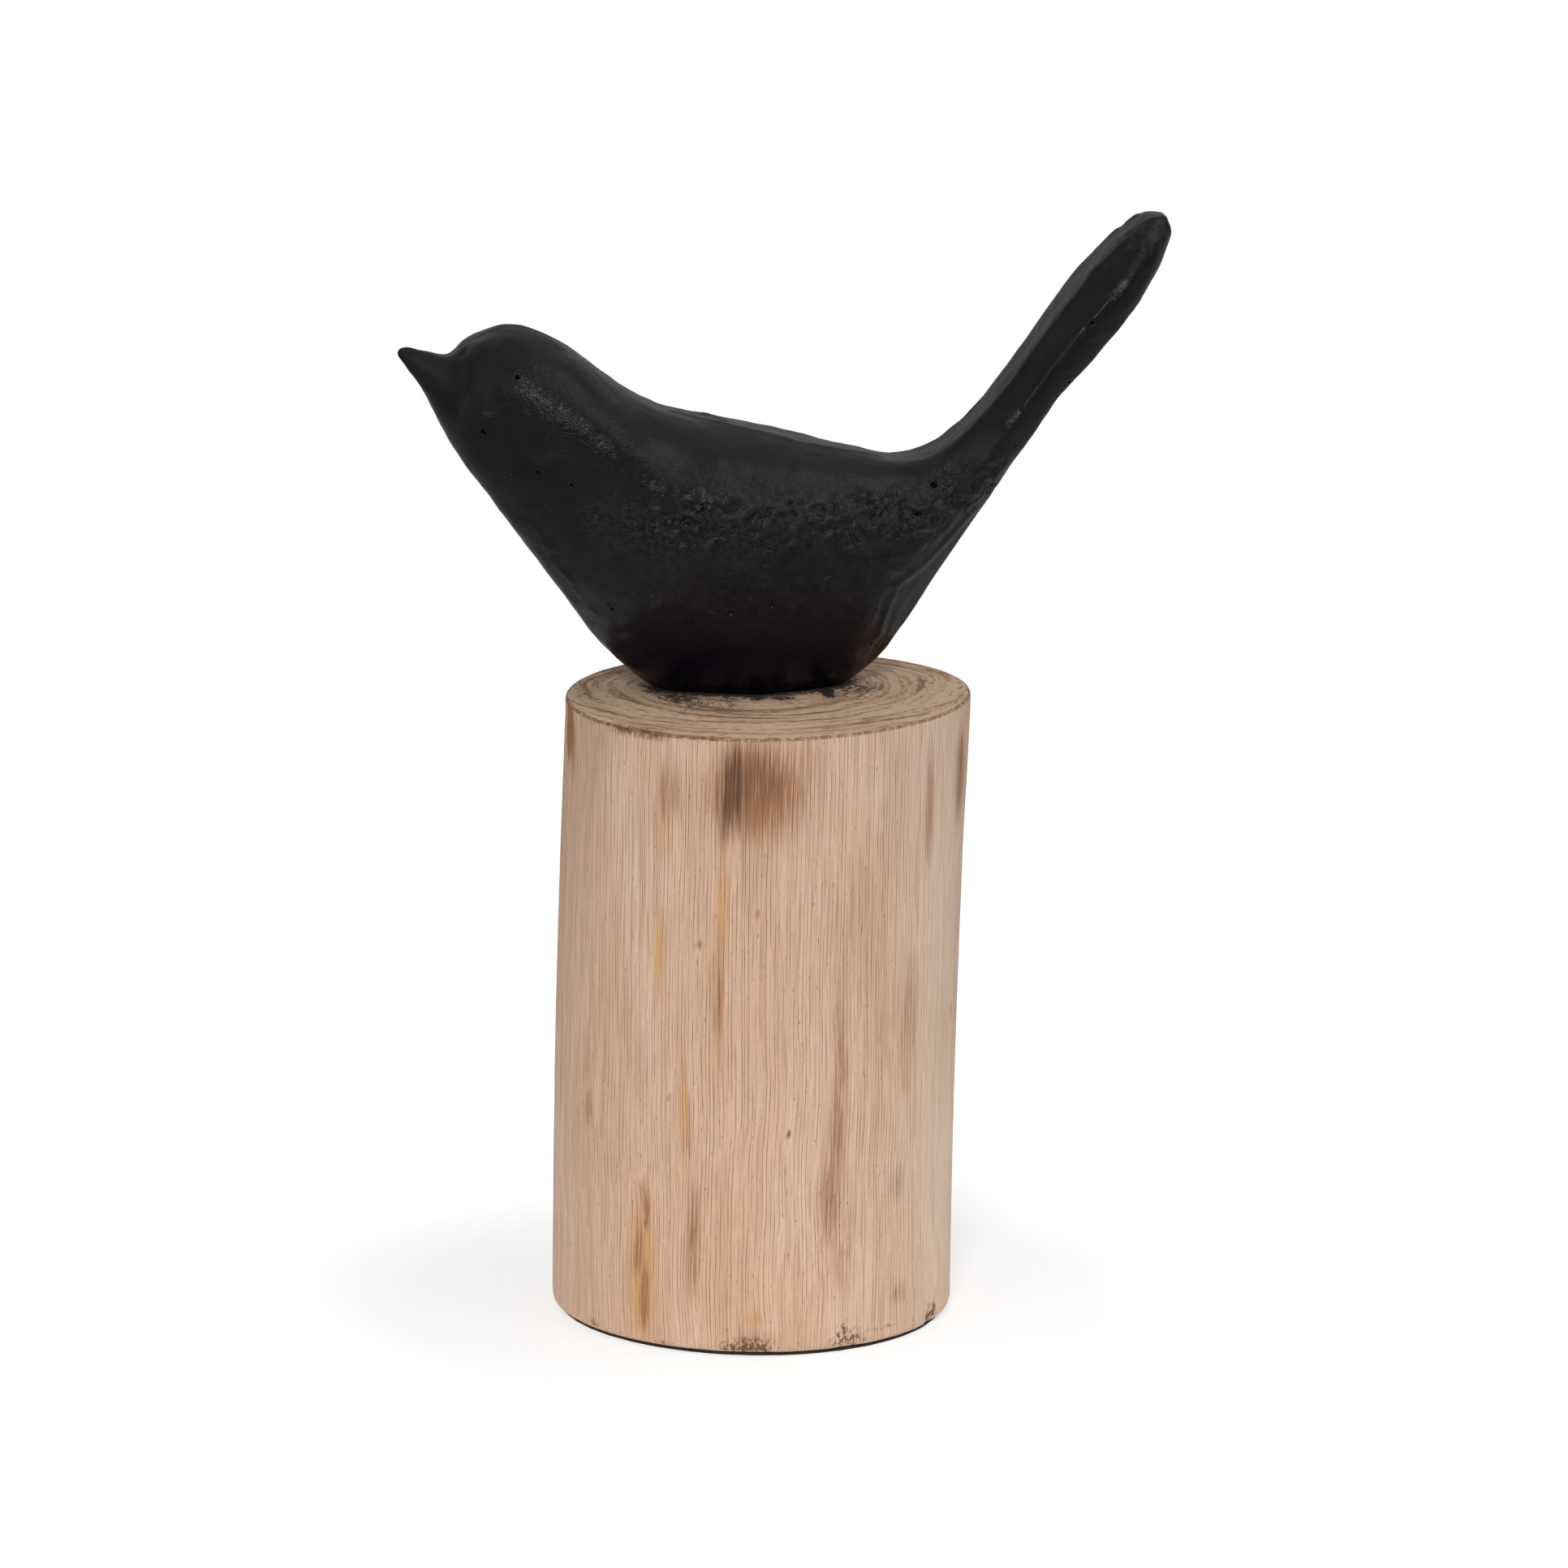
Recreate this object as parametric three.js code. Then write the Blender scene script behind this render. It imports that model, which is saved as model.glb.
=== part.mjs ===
// A cast bird with its tail up, standing on an upright round of peeled wood.
// Millimetres, +Z up. The bird looks towards -X and the viewer's side is -Y.
// The origin is the middle of the underside.

import * as THREE from 'three';

// Thin pad glued under the wood
const PAD_THICKNESS = 1.0;
const PAD_INSET = 0.6;

// Wood block, a length of trunk sawn square and not quite round.
// An outline is a mean radius with an oval and a three-lobed swelling,
// each of them an amount and the direction in which it points.
const WOOD_HEIGHT = 158.2;
const WOOD_FOOT_OUTLINE = {
  centre: [0.6, 0.6],
  radius: 50.6,
  oval: { amount: 1.0, towards: -40 },
  lobes: { amount: 0.3, towards: 55 },
};
const WOOD_HEAD_OUTLINE = {
  centre: [4.9, 2.4],
  radius: 51.4,
  oval: { amount: 1.2, towards: 42 },
  lobes: { amount: 0.6, towards: 10 },
};
const WOOD_BOW = 0.8;
const WOOD_FOOT_ROUNDING = 1.8;
const WOOD_HEAD_ROUNDING = 1.0;
const WOOD_SIDES = 72;
const WOOD_COURSES = 8;
const ROUNDING_STEPS = 3;

const WOOD_FOOT_Z = PAD_THICKNESS;
const WOOD_TOP_Z = WOOD_FOOT_Z + WOOD_HEIGHT;

// Bird, one casting. Its midline runs along X, a little behind the middle of the wood.
const BIRD_MIDLINE_Y = 12;
const BIRD_RINGS = 76;
const SPINE_STEPS = 2;
const UPPER_FLANK_STEPS = 6;
const LOWER_FLANK_STEPS = 7;
const SOLE_STEPS = 2;

// Stations from the beak to the tail. Each has its two ends on the midline, on the back and
// on the breast, as distance along X and height above the wood. Then come the half widths of
// the flank at its crest, of the flat along the spine and of the flat along the breast. Last
// are the share of the way up from breast to back where the crest lies, and the fullness of
// the flank above it and below it: 1 is a flat slope and 2 is round.
const station = (back, breast, halves, form) => ({ back, breast, halves, form });
const STATIONS = {
  beakTip: station([-86.8, 88.6], [-87.1, 87.0], [1.4, 0.4, 0.4], [0.5, 2, 2]),
  beakPoint: station([-84.6, 89.1], [-85.0, 84.2], [3.0, 0.6, 0.6], [0.5, 2, 2]),
  beak: station([-79.8, 88.0], [-80.2, 77.2], [4.9, 0.8, 0.8], [0.5, 2, 1.9]),
  beakRoot: station([-74.2, 87.0], [-76.0, 68.4], [8.0, 1.8, 1.5], [0.56, 2, 1.8]),
  brow: station([-69.0, 90.4], [-71.0, 60.2], [14, 4, 3], [0.64, 1.8, 1.7]),
  crown: station([-58.0, 93.5], [-60.0, 45.2], [20, 5, 5.5], [0.72, 1.9, 1.6]),
  nape: station([-45.5, 88.8], [-47.8, 27.8], [23.5, 4.5, 7], [0.73, 1.9, 1.6]),
  shoulder: station([-30.8, 77.6], [-32.8, 8.8], [27.5, 5, 6.5], [0.75, 1.7, 1.6]),
  footFront: station([-20.0, 72.0], [-21.5, 0.2], [29.2, 6, 3.5], [0.74, 1.7, 1.6]),
  chest: station([-9.5, 69.4], [-9.5, 0], [29.8, 6, 8], [0.73, 1.7, 1.6]),
  middle: station([3.0, 66.8], [2.5, 0], [29.3, 6.5, 11.5], [0.72, 1.7, 1.6]),
  belly: station([15.0, 63.7], [14.0, 0], [27.5, 6.5, 7.5], [0.73, 1.7, 1.65]),
  footBack: station([27.5, 60.4], [25.0, 0], [24, 6.5, 2.5], [0.73, 1.7, 1.8]),
  saddle: station([38.5, 58.0], [36.4, 9.0], [19.5, 7, 2.5], [0.72, 1.6, 1.8]),
  rump: station([47.7, 59.5], [50.8, 30.4], [15.5, 7.5, 2.5], [0.66, 1.5, 1.6]),
  tailRoot: station([57.5, 66.6], [64.2, 49.9], [12.5, 7, 4.5], [0.56, 1.35, 1.35]),
  tail: station([69.5, 81.2], [78.9, 72.4], [13, 6.5, 8], [0.5, 1.25, 1.25]),
  tailBlade: station([82.1, 98.4], [90.3, 85.8], [14.5, 8, 9], [0.47, 1.25, 1.25]),
  upperBlade: station([93.1, 110.8], [99.6, 97.2], [13.5, 7.5, 8], [0.45, 1.3, 1.3]),
  tailEnd: station([102.6, 118.3], [105.4, 106.5], [9.5, 5, 5], [0.45, 1.6, 1.6]),
  tailTip: station([107.4, 118.2], [108.9, 113.8], [3.5, 2.2, 1.6], [0.5, 2, 2]),
};

// Flat cut on each flank of the rump: a point on it and the way it faces, with Y counted
// outwards from the midline and Z above the wood. It runs out where the tail begins.
const RUMP_CUT = {
  through: [37.2, 15.4, 27.7],
  facing: [0.65, 0.61, -0.45],
  fadesFrom: 40,
  goneBy: 58,
};

// Finishes: satin black paint, bare peeled wood and dull black pad
const BLACK_PAINT = { color: 0x1d1c1c, roughness: 0.5, metalness: 0.1 };
const PEELED_WOOD = { color: 0xcfad94, roughness: 0.85, metalness: 0 };
const PAD_FELT = { color: 0x141313, roughness: 0.95, metalness: 0 };

function namedMesh(name, geometry, finish) {
  const mesh = new THREE.Mesh(geometry, new THREE.MeshStandardMaterial(finish));
  mesh.name = name;
  return mesh;
}

// A closed body through rings of equal count, with a fan over the first and the last ring.
// The rings run anticlockwise as seen from the last one.
function loftedBody(rings) {
  const count = rings[0].length;
  const positions = rings.flat().flatMap((point) => point.toArray());
  const triangles = [];
  for (let ring = 0; ring + 1 < rings.length; ring += 1) {
    for (let side = 0; side < count; side += 1) {
      const a = ring * count + side;
      const b = ring * count + ((side + 1) % count);
      triangles.push(a, b, b + count);
      triangles.push(a, b + count, a + count);
    }
  }
  const capCentre = (ring) => {
    const sum = new THREE.Vector3();
    ring.forEach((point) => sum.add(point));
    return sum.divideScalar(count);
  };
  const firstCentre = positions.length / 3;
  const lastCentre = firstCentre + 1;
  positions.push(...capCentre(rings[0]).toArray());
  positions.push(...capCentre(rings[rings.length - 1]).toArray());
  const lastStart = (rings.length - 1) * count;
  for (let side = 0; side < count; side += 1) {
    const next = (side + 1) % count;
    triangles.push(firstCentre, next, side);
    triangles.push(lastCentre, lastStart + side, lastStart + next);
  }
  const geometry = new THREE.BufferGeometry();
  geometry.setAttribute('position', new THREE.Float32BufferAttribute(positions, 3));
  geometry.setIndex(triangles);
  geometry.computeVertexNormals();
  return geometry;
}

// Radius of an outline in the given direction, in radians
function outlineRadius(outline, angle) {
  const swelling = ({ amount, towards }, folds) =>
    amount * Math.cos(folds * (angle - THREE.MathUtils.degToRad(towards)));
  return outline.radius + swelling(outline.oval, 2) + swelling(outline.lobes, 3);
}

// One level ring of the trunk, at a share of the wood's height, drawn in by an inset
function trunkRing(share, z, inset) {
  const lerp = THREE.MathUtils.lerp;
  const bow = WOOD_BOW * Math.sin(Math.PI * share);
  const centreX = lerp(WOOD_FOOT_OUTLINE.centre[0], WOOD_HEAD_OUTLINE.centre[0], share) - bow;
  const centreY = lerp(WOOD_FOOT_OUTLINE.centre[1], WOOD_HEAD_OUTLINE.centre[1], share);
  const ring = [];
  for (let side = 0; side < WOOD_SIDES; side += 1) {
    const angle = (side / WOOD_SIDES) * 2 * Math.PI;
    const foot = outlineRadius(WOOD_FOOT_OUTLINE, angle);
    const head = outlineRadius(WOOD_HEAD_OUTLINE, angle);
    const radius = lerp(foot, head, share) - inset;
    ring.push(new THREE.Vector3(
      centreX + radius * Math.cos(angle),
      centreY + radius * Math.sin(angle),
      z,
    ));
  }
  return ring;
}

// Levels of the trunk from its foot to its head, with both edges eased by a quarter round
function trunkLevels() {
  const levels = [];
  for (let step = 0; step < ROUNDING_STEPS; step += 1) {
    const turn = (step / ROUNDING_STEPS) * (Math.PI / 2);
    levels.push({
      height: WOOD_FOOT_ROUNDING * (1 - Math.cos(turn)),
      inset: WOOD_FOOT_ROUNDING * (1 - Math.sin(turn)),
    });
  }
  const straight = WOOD_HEIGHT - WOOD_FOOT_ROUNDING - WOOD_HEAD_ROUNDING;
  for (let course = 0; course <= WOOD_COURSES; course += 1) {
    levels.push({ height: WOOD_FOOT_ROUNDING + straight * (course / WOOD_COURSES), inset: 0 });
  }
  for (let step = 1; step <= ROUNDING_STEPS; step += 1) {
    const turn = (step / ROUNDING_STEPS) * (Math.PI / 2);
    levels.push({
      height: WOOD_HEIGHT - WOOD_HEAD_ROUNDING * (1 - Math.sin(turn)),
      inset: WOOD_HEAD_ROUNDING * (1 - Math.cos(turn)),
    });
  }
  return levels;
}

function woodBlock() {
  const rings = trunkLevels().map(({ height, inset }) =>
    trunkRing(height / WOOD_HEIGHT, WOOD_FOOT_Z + height, inset));
  return namedMesh('wood_block', loftedBody(rings), PEELED_WOOD);
}

function feltPad() {
  const rings = [trunkRing(0, 0, PAD_INSET), trunkRing(0, PAD_THICKNESS, PAD_INSET)];
  return namedMesh('felt_pad', loftedBody(rings), PAD_FELT);
}

// Smooth courses through one column of the stations
function courseThrough(column) {
  const points = Object.values(STATIONS).map((entry) => {
    const [first, second, third = 0] = entry[column];
    return new THREE.Vector3(first, second, third);
  });
  return new THREE.CatmullRomCurve3(points, false, 'centripetal');
}

// Half outline of one section from the middle of the breast round to the middle of the back,
// as pairs of half width and share of the section's height
function halfSection([crestHalf, spineHalf, soleHalf], [crestShare, upperFullness, lowerFullness]) {
  const half = [];
  for (let step = 0; step < SOLE_STEPS; step += 1) {
    half.push([soleHalf * (step / SOLE_STEPS), 0]);
  }
  for (let step = 0; step < LOWER_FLANK_STEPS; step += 1) {
    const turn = (step / LOWER_FLANK_STEPS) * (Math.PI / 2);
    half.push([
      soleHalf + (crestHalf - soleHalf) * Math.sin(turn) ** (2 / lowerFullness),
      crestShare * (1 - Math.cos(turn) ** (2 / lowerFullness)),
    ]);
  }
  for (let step = 0; step < UPPER_FLANK_STEPS; step += 1) {
    const turn = (step / UPPER_FLANK_STEPS) * (Math.PI / 2);
    half.push([
      spineHalf + (crestHalf - spineHalf) * Math.cos(turn) ** (2 / upperFullness),
      crestShare + (1 - crestShare) * Math.sin(turn) ** (2 / upperFullness),
    ]);
  }
  for (let step = 0; step <= SPINE_STEPS; step += 1) {
    half.push([spineHalf * (1 - step / SPINE_STEPS), 1]);
  }
  return half;
}

// Half width left by the cut on the rump, at a place along X and a height above the wood
function shavedHalf(halfWidth, along, height) {
  const [throughX, throughY, throughZ] = RUMP_CUT.through;
  const [facingX, facingY, facingZ] = RUMP_CUT.facing;
  const beyond = facingX * (along - throughX) + facingZ * (height - throughZ);
  const kept = Math.min(halfWidth, Math.max(0, throughY - beyond / facingY));
  const fade = THREE.MathUtils.smoothstep(height, RUMP_CUT.fadesFrom, RUMP_CUT.goneBy);
  return THREE.MathUtils.lerp(kept, halfWidth, fade);
}

function birdRing(share, courses) {
  const back = courses.back.getPoint(share);
  const breast = courses.breast.getPoint(share);
  const half = halfSection(
    courses.halves.getPoint(share).toArray(),
    courses.form.getPoint(share).toArray(),
  );
  const lowest = Math.max(0, breast.y);
  const place = ([halfWidth, rise], side) => {
    const along = THREE.MathUtils.lerp(breast.x, back.x, rise);
    const height = THREE.MathUtils.lerp(lowest, back.y, rise);
    const across = side * shavedHalf(halfWidth, along, height);
    return new THREE.Vector3(along, BIRD_MIDLINE_Y + across, WOOD_TOP_Z + height);
  };
  const farSide = half.map((point) => place(point, 1));
  const nearSide = half.slice(1, -1).reverse().map((point) => place(point, -1));
  return [...farSide, ...nearSide];
}

function bird() {
  const courses = {
    back: courseThrough('back'),
    breast: courseThrough('breast'),
    halves: courseThrough('halves'),
    form: courseThrough('form'),
  };
  const rings = [];
  for (let ring = 0; ring <= BIRD_RINGS; ring += 1) {
    rings.push(birdRing(ring / BIRD_RINGS, courses));
  }
  return namedMesh('bird', loftedBody(rings), BLACK_PAINT);
}

const figurine = new THREE.Group();
figurine.add(feltPad(), woodBlock(), bird());

export default figurine;
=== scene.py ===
"""Finished surfaces, colours and light for a cast black bird on a peeled round of wood.

Shapes are worked out in millimetres and turned into metres where they enter the scene.
"""

import itertools
import math

import bmesh
import bpy
import numpy as np
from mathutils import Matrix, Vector
from mathutils.bvhtree import BVHTree


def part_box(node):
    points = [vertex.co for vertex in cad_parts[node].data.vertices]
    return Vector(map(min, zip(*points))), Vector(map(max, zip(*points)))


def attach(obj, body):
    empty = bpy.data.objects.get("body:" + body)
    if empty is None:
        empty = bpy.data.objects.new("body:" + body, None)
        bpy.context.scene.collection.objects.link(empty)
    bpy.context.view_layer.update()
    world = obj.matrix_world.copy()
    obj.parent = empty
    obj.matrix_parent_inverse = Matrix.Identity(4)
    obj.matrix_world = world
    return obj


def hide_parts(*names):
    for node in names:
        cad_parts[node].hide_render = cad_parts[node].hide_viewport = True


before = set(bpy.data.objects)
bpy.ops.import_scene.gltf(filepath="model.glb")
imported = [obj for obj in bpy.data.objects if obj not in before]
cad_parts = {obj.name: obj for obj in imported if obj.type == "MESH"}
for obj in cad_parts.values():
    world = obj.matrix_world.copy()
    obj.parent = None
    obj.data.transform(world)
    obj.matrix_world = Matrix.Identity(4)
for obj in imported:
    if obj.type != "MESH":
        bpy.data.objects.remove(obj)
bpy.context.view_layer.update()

MM = 0.001

# Noise: how many slopes it picks from, and the gain that spreads it over -1 to 1
NOISE_SLOPES = 256
NOISE_GAIN = 1.8
# Share of a band's reach that has its full strength
BAND_CORE = 0.3

# Looks: screen colours of 0 to 255
# The dusty tint lightens the paint in the crust, partly as dust and partly as painted sheen
PAINT_DARK, PAINT_LIGHT, PAINT_DUST_AND_SHEEN = (16, 14, 16), (23, 21, 22), (41, 38, 42)
# The low tint is painted shade: the paint turns darker and bluish towards the foot
PAINTED_SHADE_LOW, PIT_SHADE = (4, 1, 14), (1, 1, 1)
SKIN_WARM, SKIN_MIDDLE, SKIN_PINK = (203, 170, 143), (211, 177, 152), (216, 185, 163)
RING_DARK, RING_MIDDLE, RING_LIGHT = (140, 106, 82), (176, 144, 116), (197, 168, 139)
TEAR_BROWN, RIM_BROWN, FRAY_BROWN = (106, 74, 57), (112, 80, 54), (104, 72, 48)
SMEAR_GREY, SMEAR_BLACK = (72, 66, 64), (24, 22, 23)
PAD_DARK, PAD_LIGHT = (14, 13, 14), (38, 36, 36)
# Bump heights in m
STROKE_BUMP, SCAB_BUMP, FLAKE_BUMP, WORM_BUMP = 0.0004, 0.00028, 0.00022, 0.0002
WOOD_BUMP, PAD_BUMP = 0.0002, 0.0003
# Scales in mm of the painted shade over the paint's lower part, and of the wood's dark rim
PAINTED_SHADE_HEIGHT, RIM_LINE_REACH = 60.0, 2.0
# How much rougher dull paint is, and how strongly the tears gather in dark rings
DULLNESS, TEAR_GATHERING = 0.3, 0.45

# Camera, in mm: a long lens, a little to the beak's side of square on, looking slightly down
IMAGE_SIDE = 1932
CAMERA_DISTANCE = 2000.0
AZIMUTH = math.radians(-8.0)
ELEVATION = math.radians(13.2)
VIEW_WIDTH = 396.4
CAMERA_TARGET = np.array([8.46, -2.71, 136.59])
SENSOR_WIDTH = 36.0

# Bird surface: the spacing of its net, and the size and height of its relief, in mm
BIRD_NET = 0.82
SMOOTHING_LEVELS = 2
FOOT_CALM = (0.3, 4.0)
WELD_GAP = 0.002
RELAX_SHARE, RELAX_ROUNDS = 0.5, 6
EDGE_CREASE = 0.85
CREASE_RANGE = (math.radians(28), math.radians(48))
LUMP_CELL, LUMP_HEIGHT = 14.0, 0.3
DIMPLE_CELL, DIMPLE_HEIGHT = 5.0, 0.11
GRAIN_CELL, GRAIN_HEIGHT = 1.8, 0.03
WRINKLE_CELL, WRINKLE_HEIGHT = 1.35, 0.1
PLATE_CELL, PLATE_HEIGHT = 4.2, 0.34
CRACK_CELL, CRACK_DEPTH, CRACK_WIDTH = 5.0, 0.5, 0.1
PIMPLE_CELL, PIMPLE_HEIGHT = 2.4, 0.2
PLATE_STEEPNESS = 5
# Values of noise at which a crack starts and is whole
BREAK_CELL, BREAK_RANGE = 6.0, (-0.1, 0.3)
# How far slow noise bends the bands, the crust and the lines
DRIFT_CELL, BAND_DRIFT, CRUST_DRIFT, LINE_DRIFT = 9.0, 2.2, 1.5, 0.35
# How far quick noise shakes the crust and the wrinkles
SHAKE_CELL, CRUST_SHAKE, WRINKLE_SHAKE = 3.0, 0.6, 1.2
# Lines fade in places to this share, between these values of noise
FADE_CELL, FADE_SHARE, FADE_RANGE = 3.0, 0.45, (-0.5, 0.4)
# The net is cut finer where crust or wrinkles are stronger than this, and around pinholes
FINE_CRUST, FINE_WRINKLE, FINE_CUTS = 0.5, 0.6, 1
HOLE_RADII, HOLE_MARGIN, HOLE_CUTS = 2.0, 0.5, 2
# Pinholes in radii: their depth, where the wall starts and ends, and where the painted shade inside
# them does
HOLE_DEPTH, HOLE_WALL, HOLE_SHADE = 1.3, (0.3, 1.25), (0.45, 1.15)

# Places are pixels of the photograph, found on the surface by a ray from the camera.
# Pinholes in the casting: their places for each radius in mm
PINHOLES = {
    0.3: ((636, 437), (723, 479), (622, 545), (619, 582)),
    0.35: ((699, 458), (636, 542), (608, 584), (1080, 796)),
    0.45: ((678, 634), (751, 746), (1400, 308), (1318, 470), (1252, 549), (1073, 792)),
    0.5: ((615, 426), (755, 751), (1303, 489)),
    0.55: ((704, 598), (866, 627), (951, 747)),
    0.6: ((638, 466), (630, 583), (662, 583), (1346, 398)),
    0.65: ((1132, 634), (900, 755)),
    0.85: ((595, 533),),
    0.9: ((1151, 597),),
}

# Dents and bosses: place, radius and height in mm
SWELLINGS = (
    (((596, 497),), 3.2, 0.75), (((763, 780),), 2.6, -0.4), (((962, 627),), 4.5, 0.35),
    (((968, 668),), 5.5, 0.4), (((1135, 652),), 4, 0.35), (((1020, 690),), 6, -0.3),
    (((890, 700),), 6, -0.25), (((1100, 600),), 5, 0.25), (((700, 520),), 7, 0.25),
    (((1394, 366),), 3.6, 0.5), (((1240, 521),), 3.6, 0.8),
)

# Broad folds and edges of the form: course, half width and height in mm
FORMS = (
    # the shoulder below the neck
    (((640, 486), (678, 515), (719, 537), (755, 554)), 8, 1.9),
    # the hollow of the tail's side, between its upper edge and the ridge
    (((1392, 306), (1376, 322), (1347, 352), (1322, 385), (1300, 415), (1282, 440)), 2.8, -0.65),
    # the edge of the flat rump, and the edge of the flat back
    (((1082, 782), (1096, 744), (1106, 723), (1135, 699), (1165, 668), (1202, 627)), 1.6, 0.4),
    (((830, 507), (880, 519), (930, 531), (980, 543), (1030, 553), (1080, 561)), 1.6, 0.35),
    # the dark fold between beak and head, and the brow beside it
    (((570, 434), (577, 452), (571, 476), (561, 502)), 1.9, -0.95),
    (((592, 425), (585, 450), (588, 468)), 1.6, 0.25),
)

# How far the lines stray from their courses, in mm
STROKE_WANDER, STROKE_CELL = 0.55, 2.2
RIDGE_WANDER, RIDGE_CELL = 0.3, 5.0

# The unbroken ridge along the tail: course, half width and height in mm
RIDGES = (
    (((1366, 373), (1348, 391), (1329, 411), (1316, 427), (1301, 447), (1278, 477), (1262, 500)),
     0.8, 0.62),
)

# Raised lines and grooves: course, half width and height in mm
STROKES = (
    # the hook and the folds at the end of the tail
    (((1413, 315), (1419, 314), (1422, 321), (1417, 332)), 0.5, 0.4),
    (((1342, 335), (1373, 304), (1405, 278), (1423, 270)), 0.45, -0.4),
    (((1415, 276), (1429, 284), (1435, 298)), 0.6, 0.3),
    (((1424, 270), (1437, 285)), 0.5, -0.3),
    (((1416, 333), (1403, 345), (1397, 355)), 0.6, -0.45),
    (((1339, 417), (1348, 417), (1367, 408)), 0.5, 0.28),
    (((1305, 453), (1318, 453)), 0.6, 0.35),
    (((1358, 386), (1346, 398), (1338, 404)), 0.6, -0.3),
    # folds on the face
    (((595, 515), (614, 507), (643, 495), (655, 506)), 0.9, -0.4),
    (((578, 421), (607, 409)), 0.6, -0.18),
    # the lip on the back
    (((858, 509), (880, 512), (893, 519)), 0.8, 0.45),
    # cracks along the flank
    (((766, 637), (792, 643), (818, 646), (837, 644)), 0.4, -0.3),
    (((840, 637), (856, 648), (888, 643), (901, 651), (939, 656), (946, 661)), 0.4, -0.35),
    (((818, 656), (843, 655), (846, 660)), 0.4, -0.3),
    (((926, 637), (965, 638), (978, 632)), 0.5, -0.6),
    (((990, 643), (997, 656), (1032, 653), (1050, 651)), 0.4, -0.45),
    (((992, 629), (1003, 632), (1026, 629), (1042, 632)), 0.4, -0.4),
    (((1035, 646), (1051, 644), (1056, 634), (1053, 622)), 0.4, -0.45),
    (((1061, 635), (1086, 637), (1094, 626), (1090, 618), (1099, 621)), 0.5, -0.6),
    (((1126, 627), (1131, 637), (1141, 638), (1144, 632)), 0.5, -0.5),
    (((1150, 618), (1170, 614), (1178, 602), (1189, 594), (1197, 589)), 0.6, -0.6),
    (((949, 675), (962, 680), (973, 674)), 0.4, -0.35),
    (((968, 708), (979, 707)), 0.4, -0.35),
    (((1067, 682), (1072, 686), (1088, 690)), 0.4, -0.3),
    (((1107, 680), (1114, 672), (1122, 669)), 0.4, -0.3),
    (((877, 742), (878, 752)), 0.4, -0.25),
    (((938, 747), (955, 746)), 0.4, -0.25),
    (((879, 741), (881, 805)), 0.5, 0.14),
    (((1012, 802), (1025, 798)), 0.4, -0.25),
    # wrinkles on the near edge of the breast
    (((672, 668), (684, 692), (704, 716)), 0.8, 0.3),
    (((690, 694), (712, 730), (737, 762)), 0.7, 0.25),
    (((640, 610), (652, 640), (668, 662)), 0.7, 0.2),
)

# Rough crust, calm faces, dull paint and fine wrinkles: course, reach in mm and strength
CRUST_BANDS = (
    (((810, 650), (960, 650), (1070, 640), (1150, 630), (1205, 598)), 12, 1),
    (((760, 645), (820, 655)), 13, 0.45),
    (((830, 690), (960, 700), (1080, 700)), 9, 0.45),
    (((850, 735), (980, 735), (1080, 710)), 20, 0.4),
    (((1392, 288), (1428, 288)), 7, 0.48),
    (((885, 760), (960, 765)), 7, 0.5),
)
CALM_BANDS = (
    (((1125, 750), (1145, 710), (1175, 665), (1198, 635)), 9, 0.75),
    (((1322, 440), (1292, 480), (1262, 520), (1235, 556)), 6, 0.6),
    (((1400, 274), (1352, 318), (1318, 365), (1284, 412), (1245, 458), (1212, 500)), 4, 0.7),
)
DULL_BANDS = (
    (((1190, 572), (1208, 548), (1224, 526)), 7, 1),
    (((492, 434), (530, 455), (565, 465)), 7, 1),
    (((600, 408), (632, 406), (670, 418)), 6, 0.6),
)
WRINKLE_BANDS = (
    (((648, 476), (690, 505), (735, 528), (762, 548)), 11, 1),
    (((780, 575), (840, 592), (960, 605), (1060, 605)), 7, 0.8),
    (((602, 478), (603, 502)), 3.6, 1),
    (((745, 640), (850, 655), (960, 650), (1070, 640), (1150, 630), (1205, 598)), 12, 0.8),
    (((1258, 503), (1240, 530)), 3.4, 1),
    (((1392, 355), (1370, 368)), 3, 1),
    (((690, 610), (800, 620), (900, 760), (1000, 760)), 13, 0.35),
)

# Wood block: the spacing of its net and the depth of its grain, in mm
WOOD_COLUMNS = 640
SIDE_ROWS = 94
TOP_ROWS = 42
TOP_INNER_SHARE = 0.04
ROUNDING_ROWS = 4
FOOT_ROUNDING = 1.8
HEAD_ROUNDING = 1.0
FOOT_INNER_SHARE = 0.5
OUTLINE_HARMONICS = 6
PROFILE_LEVELS = 9
BEND_CELL = (34, 34, 44.2)
BEND_LEAST, BEND_MOST = 0.4, 1.4
# Heights above and below which the grain bends least and most
BEND_FROM, BEND_TO = 95.0, 40.0
GROOVE_DEPTH, GOUGE_DEPTH = 0.06, 0.16
SAW_RIDGE_DEPTH, SAW_TEAR_DEPTH = 0.1, 0.16
# Cells of the noise, across and along the grain
GROOVE_CELL, GOUGE_CELL = (1.6, 1.6, 45), (9, 9, 60)
RAGGED_CELL = (1.1, 1.1, 4)
# Cells of the noise on the sawn end, around and across the rings
RING_CELL, TEAR_CELL = (30, 30, 2.6), (5, 5, 1.6)
RING_WOBBLE, WOBBLE_CELL = 1.0, 16.0
# Values of noise between which each relief grows to its depth
GROOVE_RANGE, GOUGE_RANGE = (-0.2, 0.9), (0, 1)
RING_RANGE, TEAR_RANGE = (-0.5, 0.5), (0.2, 1)
# Depths in mm over which the side's relief starts, and the sawn end's stops
SIDE_RANGE, TOP_RANGE = (0.1, 0.8), (0.02, 0.2)
# Radius that turns bearings into lengths around the trunk
TRUNK_RADIUS = 51.0

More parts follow.
